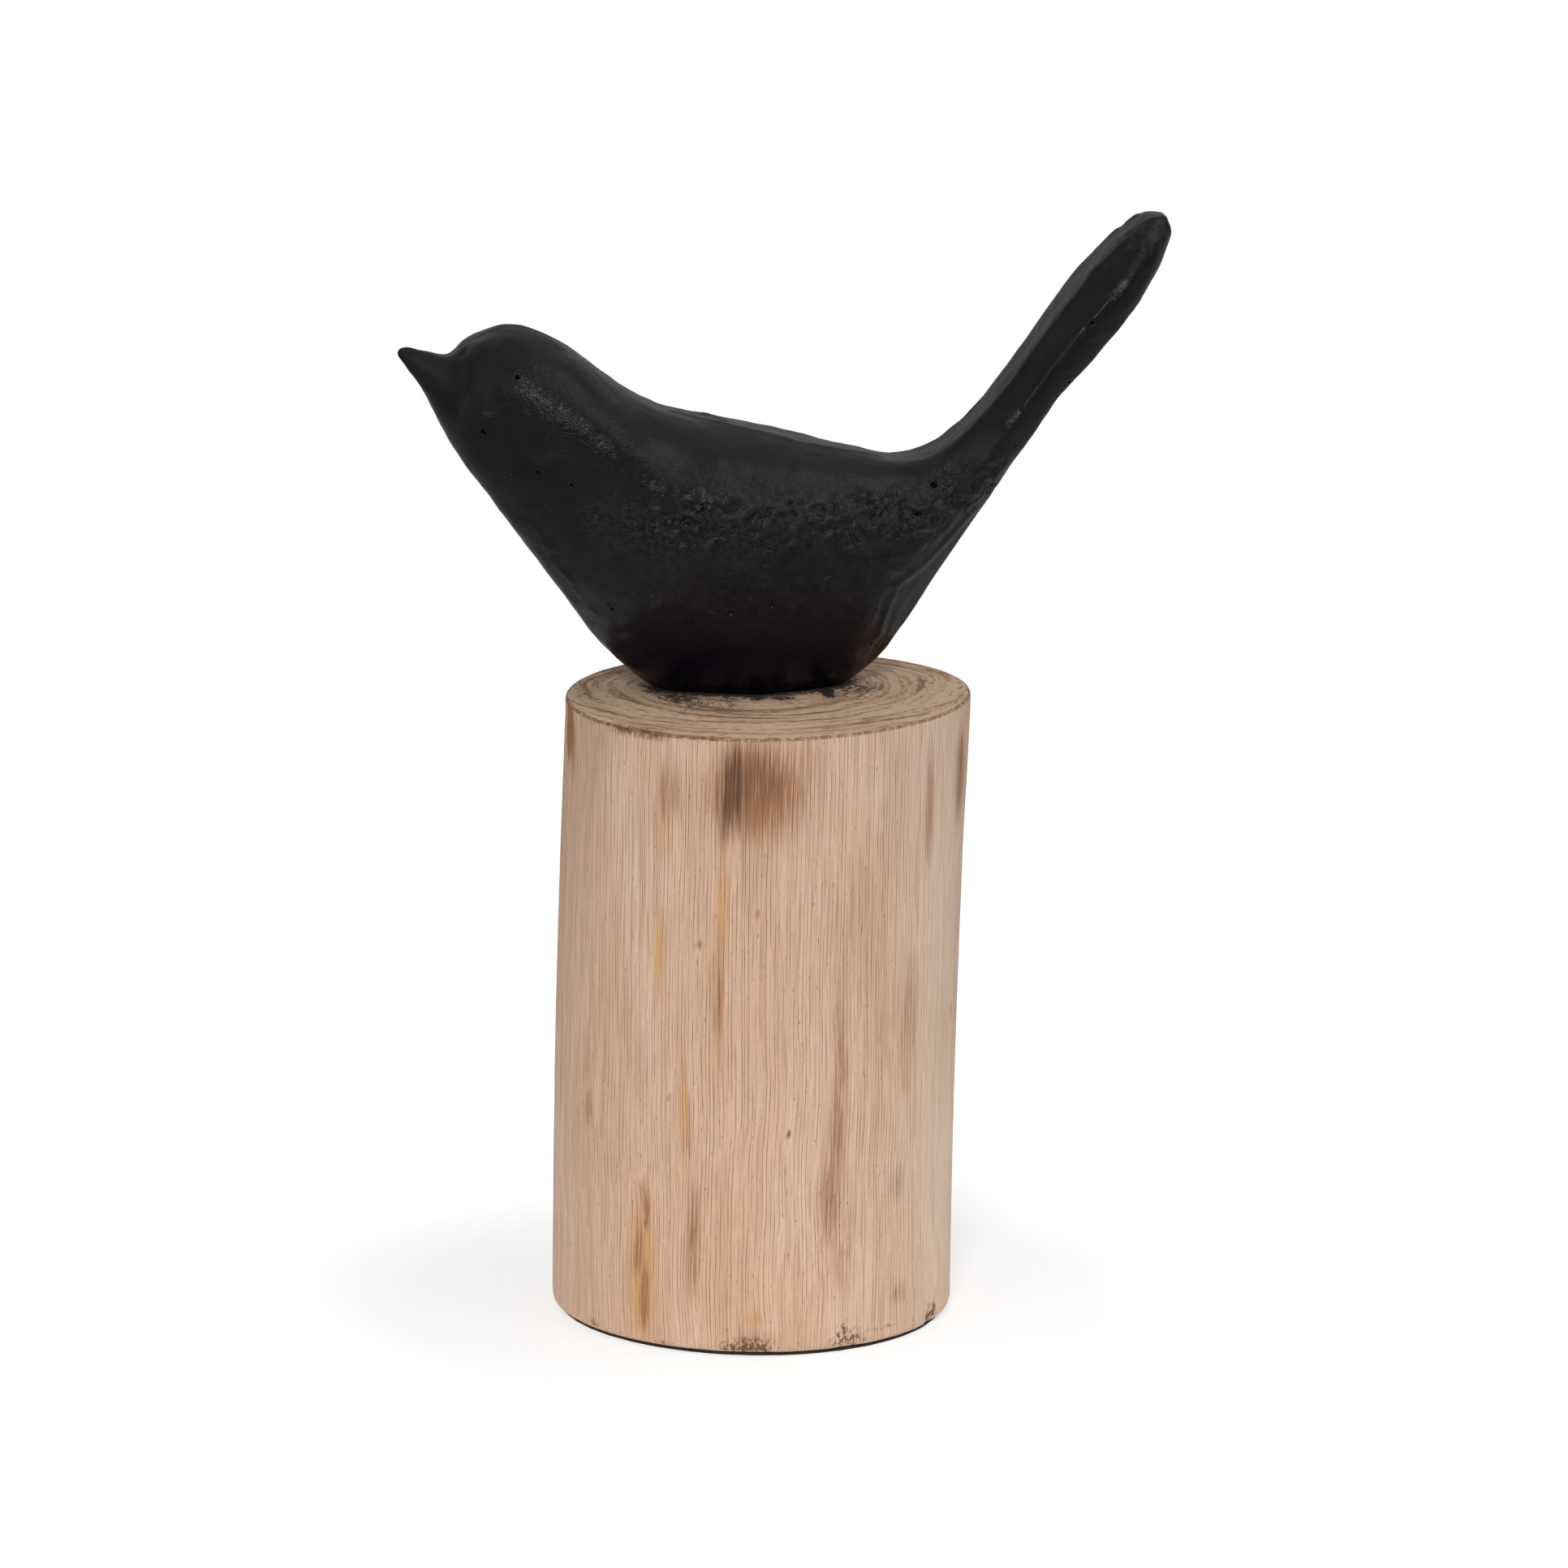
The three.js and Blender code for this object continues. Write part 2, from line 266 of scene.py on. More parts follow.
# Streaks, fibres and flecks on the bare wood: scale, detail and roughness of the noise, two of
# its values with the share of colour at each, and the colour
SKIN_MARKS = (
    ((0.55, 0.55, 0.03), 3, 0.6, (0.34, 0.36), (0.58, 0), (178, 140, 110)),
    ((2.6, 2.6, 0.04), 2, 0.6, (0.38, 0.25), (0.56, 0), (178, 142, 114)),
    ((2.4, 2.4, 0.5), 2, 0.5, (0.68, 0), (0.75, 0.8), (128, 92, 66)),
)

# Families of dark grain lines: spacing and half width in mm, how often they break across and
# along the grain, the noise at which a dash starts, and the share of the shade it reaches.
# The shade is what a line lets through of each colour.
LINE_SHADE = (0.38, 0.3, 0.23, 1)
LINE_SWAY, LINE_CORE = 0.7, 0.4
DASH_SOFTNESS = 0.16
LINE_FAMILIES = (
    (1.05, 0.08, 1, 0.05, 0.39, 0.95),
    (0.62, 0.055, 1.6, 0.12, 0.43, 0.65),
)

# Growth rings start from a pith towards the back, and lie closer together behind it
PITH = np.array([5.0, 15.0])
REAR_CROWDING = 0.35
BEARING_RADIUS = 40.0

# Kinds of stain in the order they are laid: screen colour, the strengths between which each
# grows, and its greatest share
STAIN_KINDS = {
    # pale: broad lighter patches; on the near side they are painted light that brightens its right
    "pale_and_painted_light": ((226, 203, 181), 0, 1, 0.8),
    "amber": ((200, 150, 98), 0.05, 0.66, 0.84),
    "brown": ((148, 100, 66), 0.05, 0.66, 0.84),
    "smoke": ((104, 72, 54), 0.05, 0.66, 0.9),
    "bark": ((152, 98, 64), 0.05, 0.6, 0.92),
    "scuff": ((98, 66, 46), 0.2, 0.6, 0.9),
}
# How sharply a stain ends
STAIN_SHARPNESS = 1.2

# Stains on the peeled side: place, half width and half height in mm, strength
STAINS = {
    "smoke": (
        ((906, 968), 3.6, 9.5, 0.95), ((897, 986), 2.6, 7.5, 0.8), ((941, 960), 5.2, 7.5, 0.5),
        ((824, 1354), 0.5, 0.6, 0.8), ((796, 1507), 0.45, 1.7, 1.3), ((972, 1396), 0.5, 0.7, 1.1),
        ((1104, 1457), 2.4, 5, 0.35), ((1107, 1593), 2.4, 2.6, 0.45),
    ),
    "brown": (
        ((932, 978), 11.5, 11, 1.15), ((944, 1012), 2.2, 6, 0.55), ((987, 946), 6.5, 8, 0.42),
        ((874, 985), 4.2, 7, 0.35), ((893, 1022), 2, 6, 0.62), ((829, 976), 3.6, 8, 0.45),
        ((819, 978), 1.6, 7.5, 0.75), ((885, 1215), 1.3, 17, 0.6), ((861, 1165), 0.8, 1.1, 1),
        ((933, 1127), 0.6, 1.3, 0.8), ((726, 1366), 1.8, 5, 0.5), ((722, 1300), 2.2, 9, 0.3),
        ((850, 1400), 0.7, 12, 0.5), ((853, 1530), 1.9, 17, 0.65), ((796, 1482), 1.5, 6.5, 0.7),
        ((794, 1600), 1.5, 9, 0.85), ((787, 1540), 1.6, 7, 0.65), ((1036, 1300), 2.2, 24, 0.55),
        ((1030, 1405), 2.6, 20, 0.66), ((1024, 1474), 3.3, 14, 0.66),
        ((1040, 1540), 3.6, 14, 0.35), ((1119, 1255), 4.4, 17, 0.38),
        ((1114, 1332), 1.4, 4.5, 0.4), ((1183, 955), 4, 12, 0.9), ((1146, 990), 2.2, 15, 0.6),
        ((1172, 1245), 0.6, 2.2, 0.8), ((930, 1650), 7, 3, 0.35),
    ),
    "amber": (
        ((912, 929), 2, 2.2, 0.6), ((818, 1030), 2.6, 8, 0.4), ((890, 1115), 1.7, 17, 0.75),
        ((884, 1240), 1.8, 18, 0.45), ((812, 1176), 2.2, 12.5, 0.75), ((843, 1372), 1.3, 15, 0.8),
        ((791, 1566), 3.4, 18, 1.3), ((928, 1624), 2.9, 1.7, 0.85),
    ),
    "scuff": (
        ((922, 1660), 8, 2.4, 0.85), ((1047, 1649), 6, 3, 0.7), ((1041, 1638), 1.6, 2.8, 0.6),
        ((732, 1630), 2.4, 1.4, 0.6), ((1149, 1616), 3, 3, 0.95), ((1090, 1636), 4.5, 1.2, 0.5),
        ((820, 1655), 5, 1, 0.45),
    ),
    # broad pale patches of painted light, brightening the right of the near side
    "pale_and_painted_light": (((1166, 1080), 18, 60, 0.85), ((1160, 1420), 18, 60, 0.8)),
    "bark": (((702, 890), 3.3, 7.5, 2.2), ((706, 926), 2, 8, 0.7)),
}

# Stains on the far side: bearing in degrees from +X, height, half sizes in mm, strength
FAR_STAINS = {
    "brown": (
        (62, 118, 3.4, 17, 0.6), (104, 118, 4.4, 13, 0.5), (127, 36, 2.4, 17, 0.55),
        (150, 102, 2, 14, 0.45), (30, 70, 2.2, 16, 0.5), (12, 30, 3.6, 8, 0.35),
        (140, 6, 6, 2.6, 0.6),
    ),
    "amber": ((71, 60, 2.8, 19, 0.7), (118, 82, 1.8, 20, 0.6), (163, 44, 2.4, 12, 0.6)),
    "smoke": ((96, 128, 3.4, 8, 0.55),),
    "scuff": ((88, 3, 7.5, 2.2, 0.7), (45, 4, 4.5, 2.6, 0.6)),
    "pale_and_painted_light": ((110, 70, 16, 60, 0.5),),
}

# Frays and chips on the block's edges: place, half width, height and depth
RIM_FRAYS = (
    ((788, 905), 9.5, 2.4, 0.8), ((760, 896), 5, 1.4, 0.45), ((865, 915), 9, 1.1, 0.35),
)
FOOT_CHIPS = (
    ((1148, 1612), 3.4, 4.2, 2.4), ((922, 1656), 6, 1.6, 0.35), ((1046, 1646), 5, 1.8, 0.35),
)
# Wear: how far in it fades, how ragged it is, and its greatest share
WEAR_FADE, WEAR_NOISE, WEAR_LIMIT = 1.2, 0.9, 1.2
# Share of a fray's depth that the sawn end sinks, and the depth of full fray in mm
RIM_SINK, FULL_FRAY = 0.6, 0.25

# Black paint rubbed onto the sawn top: place, half width, half depth in mm, strength
PAINT_SMEARS = (
    ((838, 859), 6, 9, 0.66), ((860, 868), 7, 9, 0.46), ((820, 853), 4.5, 7, 0.5),
    ((892, 871), 7, 7, 0.36), ((1052, 848), 7.5, 7.5, 0.52), ((1072, 842), 4, 5, 0.42),
    ((1019, 852), 2, 8, 1.2), ((897, 862), 3.5, 4, 0.55), ((931, 858), 2.6, 6, 0.85),
    ((965, 860), 4, 3.6, 0.7),
)
PAINT_EDGE = 4.0
SMEAR_SHARPNESS, SMEAR_RAGGEDNESS = 1.5, 2.2

# Pad: its net, its edge in mm, and the shares of its rings
PAD_COLUMNS = 400
PAD_EDGE_ROWS = 5
PAD_WANDER, PAD_CELL = 0.12, 4.0
PAD_MARGIN, PAD_BULGE = 0.3, 0.25
PAD_SET_BACK = 1.0
PAD_SHARES = (0.97, 0.8, 0.5, 0.2)

# Light: strength of the surroundings below, in front, behind and overhead, of the backdrop,
# and the places on the unit sphere between which the surroundings blend
SKY_BELOW, SKY_FRONT, SKY_REAR, SKY_OVERHEAD = 0.42, 0.24, 0.36, 0.62
BACKDROP = 1.0
FRONT_TO_REAR, BELOW_TO_LEVEL, LEVEL_TO_TOP = (-0.9, 0.5), (-0.3, -0.05), (0.5, 0.95)

# Soft boxes aimed at a point above the ground: name, place, width and height in m, watts
SOFT_BOX_TARGET = (0.0, 0.0, 0.15)
SOFT_BOXES = (
    ("front_box", (-0.32, -1.38, 0.90), 0.28, 0.24, 12.0),
    ("cheek_box", (-1.15, -1.03, 0.61), 0.17, 0.17, 2.4),
    ("left_box", (-1.5, -0.3, 0.9), 0.5, 1.0, 1.0),
    ("right_box", (1.15, -0.55, 1.45), 1.5, 1.5, 11.5),
)

# White ground: its radius in mm, and the shares of it between which its glow grows, each
# with the glow there
FLOOR_RADIUS, FLOOR_SIDES, FLOOR_GREY = 220.0, 128, 0.45
GLOW_START, GLOW_END = (0.4, 0.58), (0.8, 0.85)


VIEW_BACK = np.array([
    math.sin(AZIMUTH) * math.cos(ELEVATION),
    -math.cos(AZIMUTH) * math.cos(ELEVATION),
    math.sin(ELEVATION),
])
VIEW_RIGHT = np.array([math.cos(AZIMUTH), math.sin(AZIMUTH), 0.0])
VIEW_UP = np.cross(VIEW_BACK, VIEW_RIGHT)
CAMERA_PLACE = CAMERA_TARGET + VIEW_BACK * CAMERA_DISTANCE


def pixel_ray(pixel):
    """Direction from the camera through a pixel of the photograph."""
    scale = VIEW_WIDTH / IMAGE_SIDE / CAMERA_DISTANCE
    across = (pixel[0] - IMAGE_SIDE / 2) * scale
    down = (pixel[1] - IMAGE_SIDE / 2) * scale
    ray = VIEW_RIGHT * across - VIEW_UP * down - VIEW_BACK
    return ray / np.linalg.norm(ray)


def surface_point(tree, pixel):
    """Where a pixel of the photograph falls on a surface, in mm."""
    found = tree.ray_cast(Vector(CAMERA_PLACE), Vector(pixel_ray(pixel)))
    if found[0] is None:
        raise ValueError(f"pixel {pixel} misses the surface")
    return np.array(found[0])


def lengths(vectors):
    return np.linalg.norm(vectors, axis=1)


def smoothstep(value, low, high):
    share = np.clip((value - low) / (high - low), 0, 1)
    return share * share * (3 - 2 * share)


def lattice_noise(points, cell, seed):
    """Gradient noise of about -1 to 1, with cells of the given size in mm."""
    rng = np.random.default_rng(seed)
    order = rng.permutation(NOISE_SLOPES)
    slopes = rng.normal(size=(NOISE_SLOPES, 3))
    slopes /= lengths(slopes)[:, None]
    at = points / cell
    base = np.floor(at).astype(int)
    part = at - base
    ease = part ** 3 * (part * (part * 6 - 15) + 10)
    total = np.zeros(len(points))
    for corner in itertools.product((0, 1), repeat=3):
        corner = np.array(corner)
        pick = 0
        for index in (base + corner).T:
            pick = order[(pick + index) % NOISE_SLOPES]
        rise = np.einsum("ij,ij->i", slopes[pick], part - corner)
        total += rise * np.prod(np.where(corner == 1, ease, 1 - ease), axis=1)
    return total * NOISE_GAIN


def layered_noise(points, cell, seed):
    """Noise, and half as much again in cells half the size."""
    finer = lattice_noise(points, np.asarray(cell) / 2, seed + 1)
    return lattice_noise(points, cell, seed) + finer / 2


def drift_noise(points, cell, seed):
    """A vector of noise for each point, to bend other patterns with."""
    return np.stack([lattice_noise(points, cell, seed + axis) for axis in range(3)], axis=1)


def course_gap(points, tree, pixels):
    """Distance of each point to the straight stretches between places on a surface."""
    course = [surface_point(tree, pixel) for pixel in pixels]
    nearest = lengths(points - course[0])
    for start, end in zip(course[:-1], course[1:]):
        along = end - start
        share = np.clip((points - start) @ along / (along @ along), 0, 1)
        nearest = np.minimum(nearest, lengths(points - start - share[:, None] * along))
    return nearest


def band_mask(points, tree, bands):
    """Strength of the strongest of several soft bands along courses."""
    mask = np.zeros(len(points))
    for pixels, reach, strength in bands:
        gap = course_gap(points, tree, pixels)
        mask = np.maximum(mask, strength * (1 - smoothstep(gap, BAND_CORE * reach, reach)))
    return mask


def raised_lines(points, tree, lines):
    """Height of ridges and grooves that are rounded across."""
    height = np.zeros(len(points))
    for pixels, half_width, rise in lines:
        gap = course_gap(points, tree, pixels)
        height += rise * np.exp(-((gap / half_width) ** 2))
    return height


def mesh_points(mesh):
    values = np.empty(len(mesh.vertices) * 3)
    mesh.vertices.foreach_get("co", values)
    return values.reshape(-1, 3)


def mesh_normals(mesh):
    values = np.empty(len(mesh.vertices) * 3, np.float32)
    mesh.vertex_normals.foreach_get("vector", values)
    return values.reshape(-1, 3).astype(float)


def place_points(mesh, points):
    mesh.vertices.foreach_set("co", points.ravel())
    mesh.update()


def store(mesh, **layers):
    """Stores numbers or vectors of the vertices or face corners, for the materials to read."""
    for name, values in layers.items():
        kind, field = ("FLOAT", "value") if values.ndim == 1 else ("FLOAT_VECTOR", "vector")
        domain = "POINT" if len(values) == len(mesh.vertices) else "CORNER"
        layer = mesh.attributes.new(name, kind, domain)
        layer.data.foreach_set(field, values.astype(np.float32).ravel())


def adjusted(thing, **settings):
    for name, value in settings.items():
        setattr(thing, name, value)
    return thing


def linked_object(name, data):
    piece = bpy.data.objects.new(name, data)
    bpy.context.scene.collection.objects.link(piece)
    return piece


def finished_object(name, mesh):
    mesh.polygons.foreach_set("use_smooth", np.ones(len(mesh.polygons), bool))
    return linked_object(name, mesh)


def evaluated_mesh(piece):
    graph = bpy.context.evaluated_depsgraph_get()
    return bpy.data.meshes.new_from_object(piece.evaluated_get(graph))


def tree_of(mesh, scale=1.0):
    faces = [tuple(polygon.vertices) for polygon in mesh.polygons]
    return BVHTree.FromPolygons((mesh_points(mesh) * scale).tolist(), faces)


def cad_mesh_in_mm(node):
    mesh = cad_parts[node].data.copy()
    place_points(mesh, mesh_points(mesh) / MM)
    mesh.materials.clear()
    return mesh


def box_in_mm(node):
    low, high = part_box(node)
    return np.array(low) / MM, np.array(high) / MM


def rounded_bird():
    """The CAD bird without its facets, as a fine even net of quads."""
    cage_mesh = cad_mesh_in_mm("bird")
    cage = bmesh.new()
    cage.from_mesh(cage_mesh)
    bmesh.ops.remove_doubles(cage, verts=cage.verts, dist=WELD_GAP)
    bmesh.ops.join_triangles(
        cage, faces=cage.faces, angle_face_threshold=math.pi, angle_shape_threshold=math.pi,
    )
    crease = cage.edges.layers.float.new("crease_edge")
    for edge in cage.edges:
        if edge.is_manifold:
            sharpness = smoothstep(edge.calc_face_angle(), *CREASE_RANGE)
            edge[crease] = EDGE_CREASE * float(sharpness)
    cage.to_mesh(cage_mesh)
    cage.free()
    smooth = linked_object("smooth_cage", cage_mesh)
    adjusted(smooth.modifiers.new("rounding", "SUBSURF"), levels=SMOOTHING_LEVELS)
    smooth_mesh = evaluated_mesh(smooth)
    smooth.modifiers.clear()
    smooth.data = smooth_mesh
    net = linked_object("fine_net", smooth_mesh.copy())
    adjusted(net.modifiers.new("even", "REMESH"), mode="VOXEL", voxel_size=BIRD_NET)
    adjusted(net.modifiers.new("relax", "SMOOTH"), factor=RELAX_SHARE, iterations=RELAX_ROUNDS)
    wrap = net.modifiers.new("wrap", "SHRINKWRAP")
    adjusted(wrap, target=smooth, wrap_method="NEAREST_SURFACEPOINT")
    net_mesh = evaluated_mesh(net)
    bpy.data.objects.remove(net)
    bpy.data.objects.remove(smooth)
    return net_mesh


def refine_net(mesh, near, cuts):
    """Cuts the edges between the chosen vertices, for finer relief there."""
    net = bmesh.new()
    net.from_mesh(mesh)
    edges = [edge for edge in net.edges if near[edge.verts[0].index] and near[edge.verts[1].index]]
    bmesh.ops.subdivide_edges(net, edges=edges, cuts=cuts, use_grid_fill=True)
    net.to_mesh(mesh)
    net.free()


def refine_bird(mesh, tree, holes):
    """Cuts the net finer in the crust, in the wrinkles and around pinholes."""
    points = mesh_points(mesh)
    crust = band_mask(points, tree, CRUST_BANDS)
    wrinkle = band_mask(points, tree, WRINKLE_BANDS)
    refine_net(mesh, (crust > FINE_CRUST) | (wrinkle > FINE_WRINKLE), FINE_CUTS)
    points = mesh_points(mesh)
    near = np.zeros(len(points), bool)
    for place, radius in holes:
        near |= lengths(points - place) < HOLE_RADII * radius + HOLE_MARGIN
    refine_net(mesh, near, HOLE_CUTS)


def rolling_height(points):
    """The soft unevenness of the whole casting."""
    height = LUMP_HEIGHT * layered_noise(points, LUMP_CELL, 1)
    height += DIMPLE_HEIGHT * layered_noise(points, DIMPLE_CELL, 4)
    return height + GRAIN_HEIGHT * lattice_noise(points, GRAIN_CELL, 7)


def crust_height(points, drift):
    """Plates, the cracks between them, and pimples."""
    warped = points + CRUST_DRIFT * drift + CRUST_SHAKE * drift_noise(points, SHAKE_CELL, 17)
    plates = np.tanh(PLATE_STEEPNESS * lattice_noise(warped, PLATE_CELL, 21))
    crack_field = layered_noise(warped, CRACK_CELL, 22)
    broken = smoothstep(lattice_noise(points, BREAK_CELL, 23), *BREAK_RANGE)
    cracks = np.exp(-((crack_field / CRACK_WIDTH) ** 2)) * broken
    pimples = layered_noise(warped, PIMPLE_CELL, 24)
    return PLATE_HEIGHT * plates - CRACK_DEPTH * cracks + PIMPLE_HEIGHT * pimples


def wrinkle_height(points):
    shaken = points + WRINKLE_SHAKE * drift_noise(points, SHAKE_CELL, 31)
    return WRINKLE_HEIGHT * (1 - 2 * np.abs(lattice_noise(shaken, WRINKLE_CELL, 34)))


def modelled_height(points, drift, tree):
    """Dents, bosses, folds, ridge and strokes, each at its place."""
    height = raised_lines(points, tree, SWELLINGS)
    guided = points + LINE_DRIFT * drift
    height += raised_lines(guided, tree, FORMS)
    ridge_shake = RIDGE_WANDER * drift_noise(points, RIDGE_CELL, 47)
    height += raised_lines(guided + ridge_shake, tree, RIDGES)
    stroke_shake = STROKE_WANDER * drift_noise(points, STROKE_CELL, 41)
    uneven = smoothstep(lattice_noise(points, FADE_CELL, 45), *FADE_RANGE)
    uneven = FADE_SHARE + (1 - FADE_SHARE) * uneven
    return height + uneven * raised_lines(guided + stroke_shake, tree, STROKES)


def bird_piece():
    mesh = rounded_bird()
    low, high = box_in_mm("bird")
    tree = tree_of(mesh)
    wood_top = low[2]
    holes = []
    for radius, pixels in PINHOLES.items():
        holes += [(surface_point(tree, pixel), radius) for pixel in pixels]
    refine_bird(mesh, tree, holes)

    points = mesh_points(mesh)
    drift = drift_noise(points, DRIFT_CELL, 11)
    # the far side takes the near side's bands, with other noise
    midline = (low[1] + high[1]) / 2
    bent = points.copy()
    bent[:, 1] = midline - np.abs(points[:, 1] - midline)
    bent += BAND_DRIFT * drift
    crust = band_mask(bent, tree, CRUST_BANDS)
    wrinkle = band_mask(bent, tree, WRINKLE_BANDS)
    height = rolling_height(points) * (1 - band_mask(bent, tree, CALM_BANDS))
    height += crust * crust_height(points, drift) + wrinkle * wrinkle_height(points)
    height += modelled_height(points, drift, tree)
    pits = np.zeros(len(points))
    for place, radius in holes:
        gap = lengths(points - place) / radius
        # painted shade darkens the inside of each pinhole
        pits = np.maximum(pits, 1 - smoothstep(gap, *HOLE_SHADE))
        height -= HOLE_DEPTH * radius * (1 - smoothstep(gap, *HOLE_WALL))

    height *= smoothstep(points[:, 2] - wood_top, *FOOT_CALM)
    points = np.clip(points + mesh_normals(mesh) * height[:, None], low, high)
    place_points(mesh, points * MM)
    dull = band_mask(bent, tree, DULL_BANDS)
    height_up = points[:, 2] - wood_top
    store(mesh, wrinkle=wrinkle, crust=crust, dull=dull, pit=pits, height_up=height_up)
    return finished_object("bird_casting", mesh)


class Trunk:
    """The round outline of a CAD solid at every height, without its facets."""

    def __init__(self, node, columns, margin):
        self.tree = tree_of(cad_mesh_in_mm(node))
        low, high = box_in_mm(node)
        self.foot, self.head = low[2], high[2]
        self.centre = (low[:2] + high[:2]) / 2
        self.angles = np.arange(columns) / columns * math.tau
        self.ways = np.column_stack([np.cos(self.angles), np.sin(self.angles)])
        self.levels = np.linspace(self.foot + margin, self.head - margin, PROFILE_LEVELS)
        self.rows = np.array([self.smooth_row(level, columns) for level in self.levels])
        self.axis = self.centre + self.rows @ self.ways / columns

    def smooth_row(self, level, columns):
        start = Vector((*self.centre, level))
        reach = [self.tree.ray_cast(start, Vector((*way, 0)))[3] for way in self.ways]
        spectrum = np.fft.rfft(reach)
        spectrum[OUTLINE_HARMONICS + 1:] = 0
        return np.fft.irfft(spectrum, columns)

    def radius(self, level):
        return np.array([np.interp(level, self.levels, column) for column in self.rows.T])

    def ring(self, radius, level):
        across = self.centre + radius[:, None] * self.ways
        return np.column_stack([across, np.full(len(across), level)])

    def inside(self, points):
        """How far each point lies inside the outline at the head, or 0."""
        across = points[:, :2] - self.centre
        bearing = np.arctan2(across[:, 1], across[:, 0])
        outline = np.interp(bearing, self.angles, self.radius(self.head), period=math.tau)
        return np.maximum(outline - lengths(across), 0)

    def from_axis(self, points):
        """Horizontal place relative to the trunk's leaning middle line."""
        middle = [np.interp(points[:, 2], self.levels, line) for line in self.axis.T]
        return points[:, :2] - np.stack(middle, axis=1)


def closed_net(trunk, rings):
    """A closed mesh through rings of equal count, fanned to the middle of each end."""
    count = len(rings[0])
    caps = [[*trunk.centre, trunk.foot], [*trunk.centre, trunk.head]]
    points = np.concatenate([*rings, caps])
    sides = [(side, (side + 1) % count) for side in range(count)]
    last = (len(rings) - 1) * count
    faces = []
    for here in range(0, last, count):
        above = here + count
        faces += [(here + side, here + after, above + after, above + side) for side, after in sides]
    for side, after in sides:
        faces.append((last + count, after, side))
        faces.append((last + count + 1, last + side, last + after))
    mesh = bpy.data.meshes.new("net")
    mesh.from_pydata(points.tolist(), [], faces)
    return mesh


def eased_edge(trunk, edge, rounding, up):
    """Rings round an eased edge, from the flat end to the side; up is 1 at the foot."""
    rings = []
    for step in range(ROUNDING_ROWS):
        turn = step / ROUNDING_ROWS * math.pi / 2
        level = edge + up * rounding * (1 - math.cos(turn))
        rings.append(trunk.ring(trunk.radius(level) - rounding * (1 - math.sin(turn)), level))
    return rings


def wood_rings(trunk):
    rings = [trunk.ring(FOOT_INNER_SHARE * trunk.radius(trunk.foot), trunk.foot)]
    rings += eased_edge(trunk, trunk.foot, FOOT_ROUNDING, 1)
    side_low, side_high = trunk.foot + FOOT_ROUNDING, trunk.head - HEAD_ROUNDING
    for level in np.linspace(side_low, side_high, SIDE_ROWS):
        rings.append(trunk.ring(trunk.radius(level), level))
    rings += eased_edge(trunk, trunk.head, HEAD_ROUNDING, -1)[::-1]
    rim = trunk.radius(trunk.head) - HEAD_ROUNDING
    for share in np.linspace(1, TOP_INNER_SHARE, TOP_ROWS)[1:]:
        rings.append(trunk.ring(rim * share, trunk.head))
    return rings


def grain_of(trunk, points):
    """Place in the grain, in mm: straight above, wavy in the lower part."""
    across = trunk.from_axis(points)
    level = points[:, 2]
    bend = np.stack([layered_noise(points, BEND_CELL, seed) for seed in (41, 43)], axis=1)
    low_down = smoothstep(-level, -BEND_FROM, -BEND_TO)
    amount = BEND_LEAST + (BEND_MOST - BEND_LEAST) * low_down
    return np.column_stack([across + bend * amount[:, None], level])


def ring_of(points):
    """Place in the growth rings, in mm: its bearing from the pith, then its distance."""
    from_pith = points[:, :2] - PITH
    radius = lengths(from_pith)
    bearing = from_pith / np.maximum(radius, 1e-3)[:, None]
    radius = radius * (1 + REAR_CROWDING * smoothstep(bearing[:, 1], 0, 1))
    radius += RING_WOBBLE * layered_noise(points * [1, 1, 0], WOBBLE_CELL, 61)
    return np.column_stack([bearing * BEARING_RADIUS, radius])


def around_corners(mesh, trunk, grain):
    """Distance around the trunk in mm at each face corner, running on past the last column."""
    columns = len(trunk.angles)
    turn = np.arctan2(grain[:, 1], grain[:, 0])
    column = np.arange(len(grain)) % columns
    nominal = trunk.angles[column]
    turn = nominal + (turn - nominal + math.pi) % math.tau - math.pi
    corners = np.empty(len(mesh.loops), int)
    mesh.loops.foreach_get("vertex_index", corners)
    faces = np.repeat(np.arange(len(mesh.polygons)), [face.loop_total for face in mesh.polygons])
    on_last = np.zeros(len(mesh.polygons), bool)
    on_last[faces[column[corners] == columns - 1]] = True
    wrapped = on_last[faces] & (column[corners] == 0)
    return (turn[corners] + math.tau * wrapped) * TRUNK_RADIUS


def stain_masks(trunk, points, grain):
    """Strength of each kind of stain, and of the pale patches that are painted light on the near
    side, by its place in the grain.
    """
    masks = {}
    for kind in STAIN_KINDS:
        spots = [(surface_point(trunk.tree, pixel), *rest) for pixel, *rest in STAINS[kind]]
        for bearing, level, *rest in FAR_STAINS.get(kind, ()):
            turn = math.radians(bearing)
            radius = np.interp(turn, trunk.angles, trunk.radius(level))
            middle = trunk.centre + radius * np.array([math.cos(turn), math.sin(turn)])
            spots.append((np.array([*middle, level]), *rest))
        masks[kind] = np.zeros(len(points))
        for place, half_width, half_height, strength in spots:
            home = grain_of(trunk, place[None, :])[0]
            aside = lengths(grain[:, :2] - home[:2]) / half_width
            along = (grain[:, 2] - home[2]) / half_height
            mask = strength * np.exp(-(aside ** 2 + along ** 2) ** STAIN_SHARPNESS)
            masks[kind] = np.maximum(masks[kind], mask)
    return masks


def edge_wear(trunk, points, spots, from_level, noise):
    """Depth worn off near an edge, less and less with the distance from it."""
    depth = np.zeros(len(points))
    fade = np.exp(-trunk.inside(points) / WEAR_FADE)
    for pixel, half_width, reach, most in spots:
        place = surface_point(trunk.tree, pixel)
        aside = lengths(points[:, :2] - place[:2]) / half_width
        along = np.abs(points[:, 2] - from_level) / reach
        share = np.clip(1 - aside ** 2, 0, 1) * np.clip(1 - along, 0, 1)
        depth += most * fade * np.clip(share * (1 + WEAR_NOISE * noise), 0, WEAR_LIMIT)
    return depth


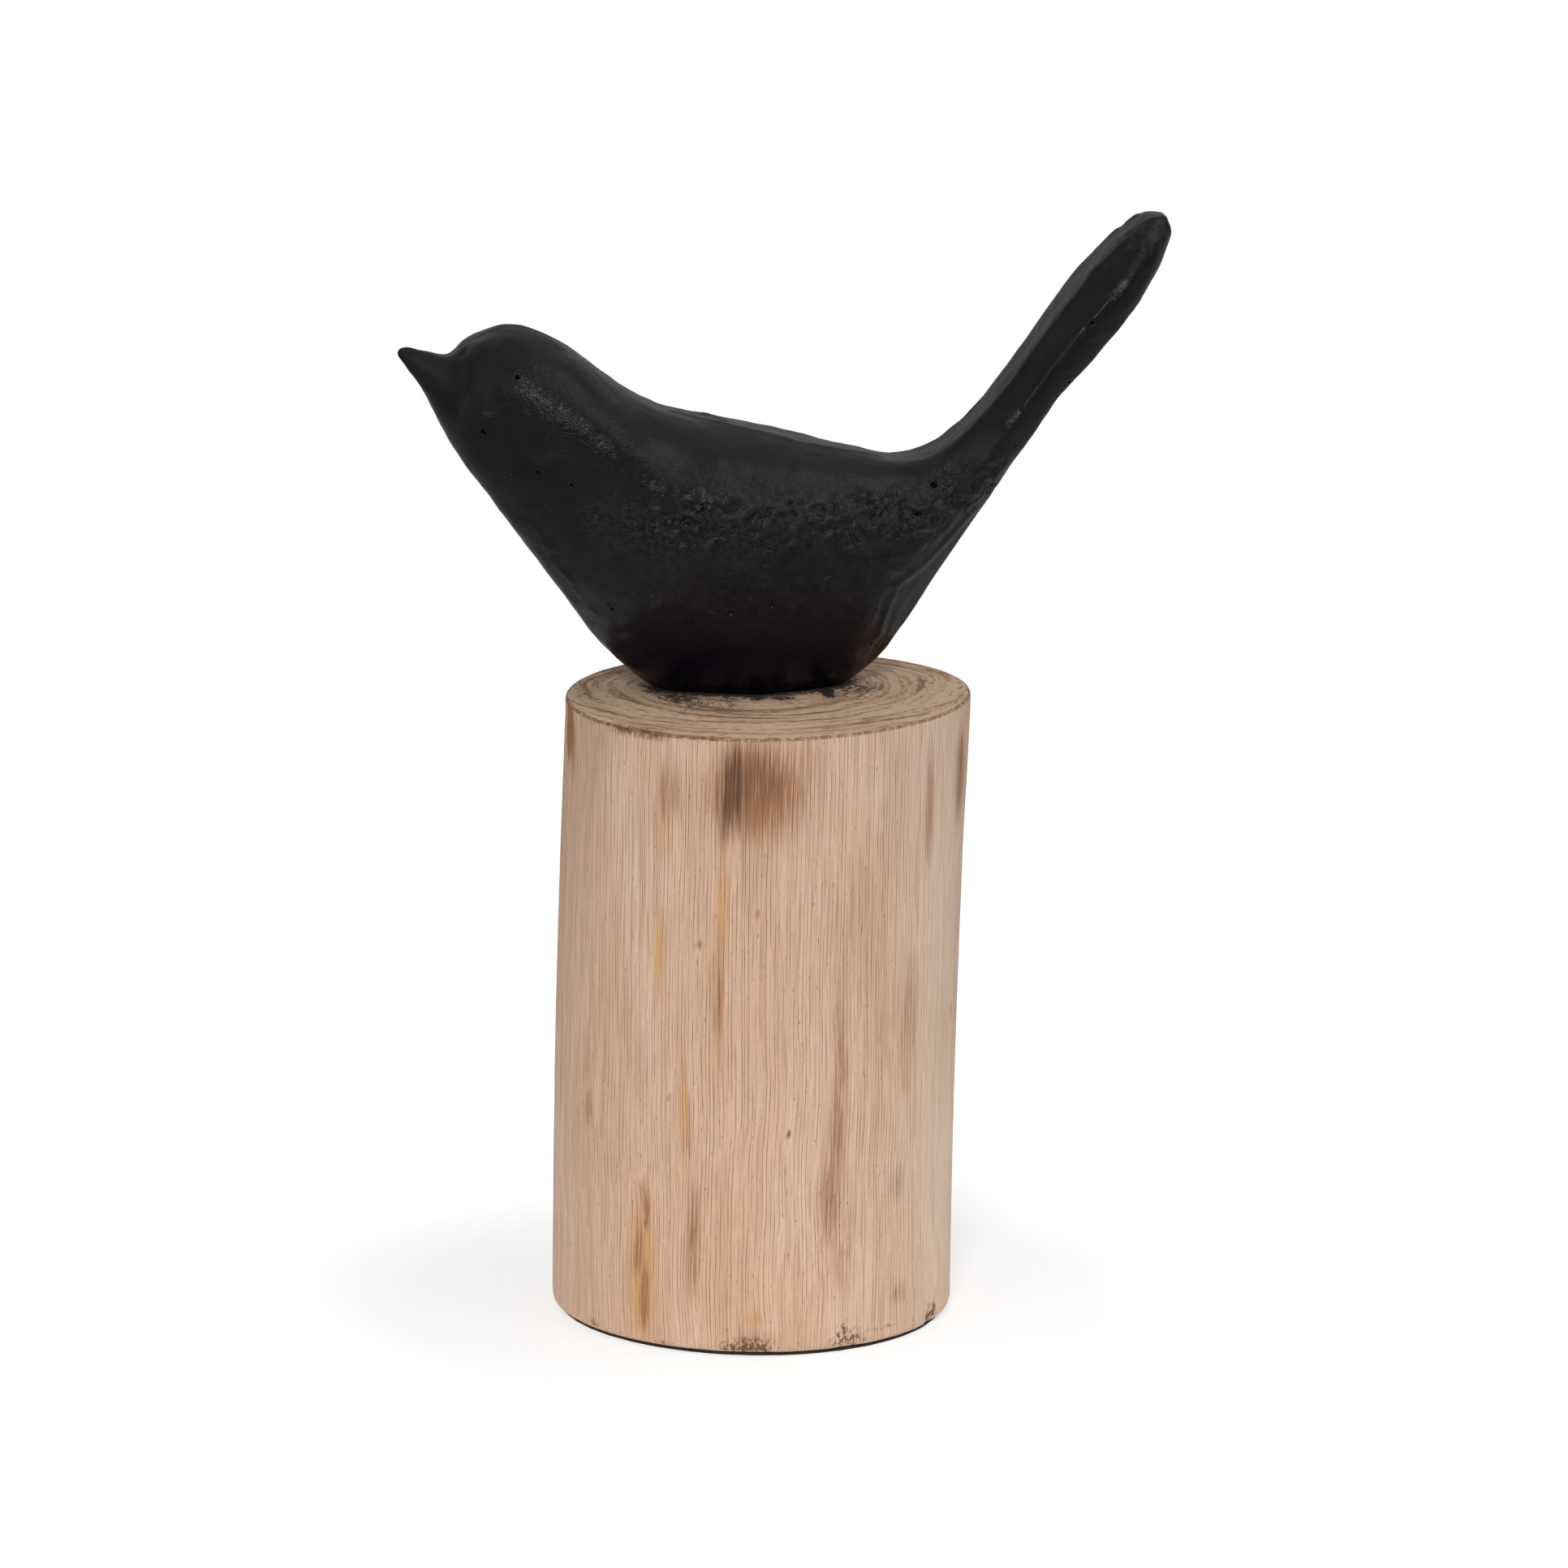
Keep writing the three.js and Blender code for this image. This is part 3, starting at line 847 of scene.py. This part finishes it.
def wood_piece(bird_tree):
    trunk = Trunk("wood_block", WOOD_COLUMNS, 2 * FOOT_ROUNDING)
    mesh = closed_net(trunk, wood_rings(trunk))
    points = mesh_points(mesh)
    level = points[:, 2].copy()
    outward = points[:, :2] - trunk.centre
    outward /= np.maximum(lengths(outward), 1.0)[:, None]
    on_side = smoothstep(trunk.head - level, *SIDE_RANGE)
    on_top = 1 - smoothstep(trunk.head - level, *TOP_RANGE)
    grain = grain_of(trunk, points)

    grooves = layered_noise(grain, GROOVE_CELL, 51)
    gouges = layered_noise(grain, GOUGE_CELL, 54)
    carve = GROOVE_DEPTH * smoothstep(grooves, *GROOVE_RANGE)
    carve += GOUGE_DEPTH * smoothstep(gouges, *GOUGE_RANGE)
    ragged = layered_noise(points, RAGGED_CELL, 57)
    rim_drop = edge_wear(trunk, points, RIM_FRAYS, trunk.head, ragged)
    carve += rim_drop + edge_wear(trunk, points, FOOT_CHIPS, trunk.foot, ragged / 2)

    ring_place = ring_of(points)
    ridges = layered_noise(ring_place, RING_CELL, 63)
    tears = layered_noise(ring_place, TEAR_CELL, 65)
    sink = SAW_RIDGE_DEPTH * smoothstep(ridges, *RING_RANGE)
    sink += SAW_TEAR_DEPTH * smoothstep(tears, *TEAR_RANGE)

    points[:, :2] -= outward * (carve * on_side)[:, None]
    points[:, 2] -= (sink + RIM_SINK * rim_drop) * on_top
    place_points(mesh, points * MM)

    for kind, mask in stain_masks(trunk, points, grain).items():
        store(mesh, **{kind: mask * on_side})
    around = around_corners(mesh, trunk, grain)
    store(mesh, on_side=on_side, below_head=trunk.head - level, around=around)
    fray = np.clip(rim_drop / FULL_FRAY, 0, 1)
    paint = paint_on_top(points, on_top, bird_tree, trunk)
    store(mesh, fray=fray, paint=paint, grain=grain, ring=ring_place)
    return finished_object("peeled_trunk", mesh)


def paint_on_top(points, on_top, bird_tree, trunk):
    """How likely black paint is on the sawn top, close to the bird's foot."""
    paint = np.zeros(len(points))
    for index in np.flatnonzero(on_top > 0.5):
        gap = bird_tree.find_nearest(Vector(points[index]))[3]
        paint[index] = 1 - min(gap / PAINT_EDGE, 1)
    for pixel, half_width, half_depth, strength in PAINT_SMEARS:
        place = surface_point(trunk.tree, pixel)
        aside = (points[:, 0] - place[0]) / half_width
        along = (points[:, 1] - place[1]) / half_depth
        paint = np.maximum(paint, strength * np.exp(-(aside ** 2 + along ** 2) ** SMEAR_SHARPNESS))
    return paint * on_top


def pad_piece():
    trunk = Trunk("felt_pad", PAD_COLUMNS, PAD_MARGIN)
    wander = PAD_WANDER * layered_noise(trunk.ring(trunk.rows[0], 0.0), PAD_CELL, 71)
    edge = trunk.rows[0] - PAD_SET_BACK - PAD_WANDER + wander
    thick = trunk.head - trunk.foot
    rings = [trunk.ring(edge * share, trunk.foot) for share in reversed(PAD_SHARES)]
    for step in range(PAD_EDGE_ROWS):
        share = step / (PAD_EDGE_ROWS - 1)
        bulge = PAD_BULGE * thick * (math.sin(share * math.pi) - 1)
        rings.append(trunk.ring(edge + bulge, trunk.foot + share * thick))
    rings += [trunk.ring(edge * share, trunk.head) for share in PAD_SHARES]
    mesh = closed_net(trunk, rings)
    place_points(mesh, mesh_points(mesh) * MM)
    return finished_object("underside_pad", mesh)


def linear(colour):
    """A screen colour of 0 to 255 as the light it stands for."""
    light = []
    for value in colour:
        value = value / 255
        light.append(value / 12.92 if value <= 0.04045 else ((value + 0.055) / 1.055) ** 2.4)
    return (*light, 1.0)


def grey(level):
    return (level, level, level, 1.0)


class Painter:
    """Short calls for the nodes of a material or a world.

    Noise has its scale in cells per metre on place(), and per mm on the stored vectors.
    """

    def __init__(self, name, kind="materials"):
        self.owner = getattr(bpy.data, kind).new(name)
        self.owner.use_nodes = True
        self.tree = self.owner.node_tree

    def put(self, socket, value):
        if hasattr(value, "links"):
            self.tree.links.new(value, socket)
        else:
            socket.default_value = value

    def node(self, kind, inputs, output=0, **settings):
        """Adds a node and hands back one of its outputs."""
        node = adjusted(self.tree.nodes.new(kind), **settings)
        for name, value in inputs.items():
            self.put(node.inputs[name], value)
        return node.outputs[output]

    def place(self):
        return self.node("ShaderNodeTexCoord", {}, "Object")

    def number(self, name):
        return self.node("ShaderNodeAttribute", {}, "Fac", attribute_name=name)

    def vector(self, name):
        return self.node("ShaderNodeAttribute", {}, "Vector", attribute_name=name)

    def stretched(self, vector, scale):
        return self.node("ShaderNodeVectorMath", {0: vector, 1: scale}, operation="MULTIPLY")

    def noise(self, vector, scale, detail, roughness=0.5, distortion=0):
        """Noise of one scale, or of another along each axis."""
        if isinstance(scale, tuple):
            vector, scale = self.stretched(vector, scale), 1
        inputs = dict(Vector=vector, Scale=scale, Detail=detail, Roughness=roughness)
        return self.node("ShaderNodeTexNoise", {**inputs, "Distortion": distortion}, "Fac")

    def border_gap(self, inputs, dimensions="3D"):
        """Distance to the nearest border between irregular cells."""
        return self.node("ShaderNodeTexVoronoi", inputs, "Distance",
                         feature="DISTANCE_TO_EDGE", voronoi_dimensions=dimensions)

    def shaken(self, vector, scale, amount):
        """The same place, pushed about by noise of up to the given amount."""
        push = self.node("ShaderNodeTexNoise", {"Vector": vector, "Scale": scale}, "Color")
        inputs = {0: push, 1: (amount, amount, amount), 2: vector}
        return self.node("ShaderNodeVectorMath", inputs, operation="MULTIPLY_ADD")

    def ramp(self, value, *stops):
        """A blend through stops, each a place and a screen colour or a number."""
        node = self.tree.nodes.new("ShaderNodeValToRGB")
        elements = node.color_ramp.elements
        while len(elements) < len(stops):
            elements.new(0.5)
        for element, (place, colour) in zip(elements, stops):
            element.position = place
            element.color = linear(colour) if isinstance(colour, tuple) else grey(colour)
        self.put(node.inputs["Fac"], value)
        return node.outputs["Color"]

    def math(self, operation, *values):
        return self.node("ShaderNodeMath", dict(enumerate(values)), operation=operation)

    def mix(self, share, first, second, mode="MIX"):
        inputs = {0: share, 6: first, 7: second}
        return self.node("ShaderNodeMix", inputs, 2, data_type="RGBA", blend_type=mode)

    def tinted(self, below, share, colour):
        return self.mix(share, below, linear(colour))

    def bump(self, height, strength, distance, below=None):
        inputs = dict(Strength=strength, Distance=distance, Height=height)
        if below is not None:
            inputs["Normal"] = below
        return self.node("ShaderNodeBump", inputs, "Normal")

    def finish(self, **sockets):
        shader = self.tree.nodes["Principled BSDF"]
        for name, value in sockets.items():
            self.put(shader.inputs[name.replace("_", " ")], value)
        return self.owner


def black_paint_material():
    paint = Painter("black_paint")
    place = paint.place()
    crust = paint.number("crust")
    scabs = paint.noise(place, 520, 6, 0.65, 0.6)
    # lighter paint in the crust and at the tail's tip: partly dust, partly painted sheen
    dust_and_sheen = paint.math("MULTIPLY", crust, paint.ramp(scabs, (0.42, 0), (0.68, 1)))
    low_down = paint.math("DIVIDE", paint.number("height_up"), PAINTED_SHADE_HEIGHT)
    tint = paint.ramp(paint.noise(place, 90, 4), (0.3, PAINT_DARK), (0.7, PAINT_LIGHT))
    tint = paint.tinted(tint, dust_and_sheen, PAINT_DUST_AND_SHEEN)
    # painted shade: darker, bluish paint low down towards the foot
    tint = paint.tinted(tint, paint.ramp(low_down, (0.2, 1), (0.45, 0)), PAINTED_SHADE_LOW)
    # painted shade inside the pinholes
    tint = paint.tinted(tint, paint.number("pit"), PIT_SHADE)
    rough = paint.ramp(paint.noise(place, 900, 5, 0.6), (0.25, 0.26), (0.8, 0.38))
    rough = paint.math("MULTIPLY_ADD", paint.number("dull"), DULLNESS, rough)
    normal = paint_relief(paint, place, crust, scabs)
    return paint.finish(Base_Color=tint, Roughness=rough, Normal=normal, Specular_IOR_Level=0.16)


def paint_relief(paint, place, crust, scabs):
    """Brush strokes all over, scabs and flakes in the crust, and worms in the wrinkles."""
    strokes = paint.noise(paint.stretched(place, (1, 1, 2.5)), 420, 4, 0.55, 1.2)
    worms = paint.noise(paint.stretched(place, (1, 1, 2)), 650, 1.5, 0.5, 1.8)
    flakes = paint.border_gap({"Vector": paint.shaken(place, 350, 0.003), "Scale": 420})
    flakes = paint.ramp(flakes, (0, 0), (0.07, 1))
    flaked = paint.ramp(paint.noise(place, 160, 2), (0.46, 0), (0.56, 1))
    normal = paint.bump(strokes, 0.12, STROKE_BUMP)
    normal = paint.bump(scabs, crust, SCAB_BUMP, normal)
    normal = paint.bump(flakes, paint.math("MULTIPLY", crust, flaked), FLAKE_BUMP, normal)
    return paint.bump(worms, paint.number("wrinkle"), WORM_BUMP, normal)


def peeled_wood_material():
    wood = Painter("peeled_wood")
    grain = wood.vector("grain")
    on_side = wood.number("on_side")
    lines = grain_lines(wood, grain)
    skin = stained(wood, grain, peeled_skin(wood, grain))
    skin = wood.mix(lines, skin, LINE_SHADE, "MULTIPLY")
    end, torn = sawn_end(wood, wood.vector("ring"))
    worn = worn_rim(wood, grain, wood.mix(on_side, end, skin))
    worn = rubbed_paint(wood, worn)
    depth = wood.math("MULTIPLY", wood.mix(on_side, torn, lines), -1)
    normal = wood.bump(depth, 0.5, WOOD_BUMP)
    return wood.finish(Base_Color=worn, Roughness=0.78, Normal=normal, Specular_IOR_Level=0.3)


def peeled_skin(wood, grain):
    """Pale bare wood in broad warmer and pinker patches, with the marks along its grain."""
    broad = wood.noise(grain, (0.05, 0.05, 0.012), 3)
    skin = wood.ramp(broad, (0.34, SKIN_WARM), (0.5, SKIN_MIDDLE), (0.66, SKIN_PINK))
    for scale, detail, roughness, first, last, colour in SKIN_MARKS:
        marks = wood.noise(grain, scale, detail, roughness)
        skin = wood.tinted(skin, wood.ramp(marks, first, last), colour)
    return skin


def grain_lines(wood, grain):
    """Narrow dark lines down the trunk, broken into long and short dashes."""
    sway = wood.noise(grain, (0.25, 0.25, 0.07), 2)
    around = wood.math("MULTIPLY_ADD", sway, LINE_SWAY, wood.number("around"))
    total = None
    for spacing, half_width, across, along, start, most in LINE_FAMILIES:
        gap = wood.border_gap({"W": around, "Scale": 1 / spacing}, "1D")
        edge = half_width / spacing
        line = wood.ramp(gap, (LINE_CORE * edge, 1), (edge, 0))
        broken = wood.noise(grain, (across, across, along), 2)
        dashes = wood.ramp(broken, (start, 0), (start + DASH_SOFTNESS, most))
        line = wood.math("MULTIPLY", line, dashes)
        total = line if total is None else wood.math("MAXIMUM", total, line)
    return total


def stained(wood, grain, skin):
    """The kinds of stain and the pale patches, painted light on the near side, one over another,
    broken up along the grain.
    """
    hatch = wood.noise(grain, (2.4, 2.4, 0.06), 3, 0.6)
    patchy = wood.ramp(hatch, (0.36, 1.25), (0.62, 0.42))
    ragged = wood.noise(grain, (0.9, 0.9, 0.7), 4, 0.7)
    ragged = wood.ramp(ragged, (0.38, 1.3), (0.6, 0.1))
    for kind, (colour, start, full, most) in STAIN_KINDS.items():
        share = wood.number(kind)
        if kind != "pale_and_painted_light":
            share = wood.math("MULTIPLY", share, ragged if kind == "scuff" else patchy)
        skin = wood.tinted(skin, wood.ramp(share, (start, 0), (full, most)), colour)
    return skin


def sawn_end(wood, ring):
    """The growth rings, with short torn dashes that gather in the darker ones."""
    field = wood.noise(ring, (0.03, 0.03, 0.36), 4, 0.65)
    end = wood.ramp(field, (0.36, RING_DARK), (0.44, RING_MIDDLE), (0.54, RING_LIGHT))
    torn = wood.noise(ring, (0.4, 0.4, 1.6), 4, 0.7)
    gather = wood.math("ADD", torn, TEAR_GATHERING / 2)
    gather = wood.math("MULTIPLY_ADD", field, -TEAR_GATHERING, gather)
    tears = wood.ramp(gather, (0.53, 0), (0.61, 0.68))
    return wood.tinted(end, tears, TEAR_BROWN), tears


def worn_rim(wood, grain, worn):
    """A thin brown line round the upper edge, and darker torn fibres where it is frayed."""
    rough = wood.noise(grain, (0.7, 0.7, 0.7), 3, 0.7)
    below = wood.math("DIVIDE", wood.number("below_head"), RIM_LINE_REACH)
    line = wood.ramp(below, (0.01, 0), (0.06, 1), (0.34, 0.9), (0.52, 0))
    line = wood.math("MULTIPLY", line, wood.ramp(rough, (0.38, 0.25), (0.58, 0.95)))
    fray = wood.math("MULTIPLY", wood.number("fray"), wood.ramp(rough, (0.35, 0.2), (0.6, 1)))
    return wood.tinted(wood.tinted(worn, line, RIM_BROWN), fray, FRAY_BROWN)


def rubbed_paint(wood, worn):
    """Black paint along the bird's foot, and thin greyish smears of it."""
    smear = wood.noise(wood.place(), 900, 4, 0.7)
    smear = wood.math("MULTIPLY", wood.math("SUBTRACT", smear, 0.5), SMEAR_RAGGEDNESS)
    smear = wood.math("ADD", wood.number("paint"), smear)
    colour = wood.ramp(smear, (0.55, SMEAR_GREY), (0.85, SMEAR_BLACK))
    return wood.mix(wood.ramp(smear, (0.42, 0), (0.54, 0.95)), worn, colour)


def pad_material():
    pad = Painter("pad_felt")
    fluff = pad.noise(pad.place(), 1500, 4)
    tint = pad.ramp(fluff, (0.3, PAD_DARK), (0.7, PAD_LIGHT))
    return pad.finish(Base_Color=tint, Roughness=0.95, Normal=pad.bump(fluff, 0.6, PAD_BUMP))


def aimed_object(name, data, place, way):
    """A camera or a lamp that looks along the given way."""
    piece = adjusted(linked_object(name, data), location=place, rotation_mode="QUATERNION")
    return adjusted(piece, rotation_quaternion=Vector(way).to_track_quat("-Z", "Y"))


def make_camera():
    data = bpy.data.cameras.new("photo_camera")
    data.sensor_width = SENSOR_WIDTH
    data.lens = SENSOR_WIDTH * CAMERA_DISTANCE / VIEW_WIDTH
    bpy.context.scene.camera = aimed_object("photo_camera", data, CAMERA_PLACE * MM, -VIEW_BACK)


def make_floor():
    """A round white ground that glows more towards its rim, so that the rim isn't seen."""
    net = bmesh.new()
    bmesh.ops.create_circle(net, cap_ends=True, segments=FLOOR_SIDES, radius=FLOOR_RADIUS * MM)
    mesh = bpy.data.meshes.new("floor")
    net.to_mesh(mesh)
    net.free()
    floor = linked_object("floor", mesh)
    paper = Painter("floor_paper")
    reach = paper.node("ShaderNodeVectorMath", {0: paper.place()}, "Value", operation="LENGTH")
    share = paper.math("DIVIDE", reach, FLOOR_RADIUS * MM)
    glow = paper.ramp(share, GLOW_START, GLOW_END)
    paper.finish(Base_Color=grey(FLOOR_GREY), Roughness=0.9, Specular_IOR_Level=0)
    mesh.materials.append(paper.finish(Emission_Color=glow, Emission_Strength=1))


def make_surroundings():
    """A plain white backdrop, and soft surroundings that are brightest overhead."""
    sky = Painter("studio", "worlds")
    bpy.context.scene.world = sky.owner
    direction = sky.node("ShaderNodeTexCoord", {}, "Generated")
    rearward = sky.node("ShaderNodeSeparateXYZ", {0: direction}, "Y")
    upward = sky.node("ShaderNodeSeparateXYZ", {0: direction}, "Z")

    def blended(value, low, high, low_strength, high_strength):
        inputs = {"Value": value, "From Min": low, "From Max": high}
        inputs.update({"To Min": low_strength, "To Max": high_strength})
        return sky.node("ShaderNodeMapRange", inputs, "Result", interpolation_type="SMOOTHSTEP")

    level = blended(rearward, *FRONT_TO_REAR, SKY_FRONT, SKY_REAR)
    level = blended(upward, *BELOW_TO_LEVEL, SKY_BELOW, level)
    level = blended(upward, *LEVEL_TO_TOP, level, SKY_OVERHEAD)
    seen = sky.node("ShaderNodeLightPath", {}, "Is Camera Ray")
    background = sky.tree.nodes["Background"]
    sky.put(background.inputs["Color"], grey(1))
    strength = sky.node("ShaderNodeMix", {0: seen, 2: level, 3: BACKDROP})
    sky.put(background.inputs["Strength"], strength)


def soft_box(name, place, width, height, power):
    data = bpy.data.lights.new(name, "AREA")
    adjusted(data, shape="RECTANGLE", size=width, size_y=height, energy=power)
    aimed_object(name, data, place, Vector(SOFT_BOX_TARGET) - Vector(place))


def dress(piece, node, material):
    piece.data.materials.append(material)
    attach(piece, "root")
    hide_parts(node)


bpy.context.scene.view_settings.view_transform = "Standard"
make_camera()
make_floor()
make_surroundings()
for lamp in SOFT_BOXES:
    soft_box(*lamp)

bird = bird_piece()
bird_tree = tree_of(bird.data, 1 / MM)
dress(bird, "bird", black_paint_material())
dress(wood_piece(bird_tree), "wood_block", peeled_wood_material())
dress(pad_piece(), "felt_pad", pad_material())
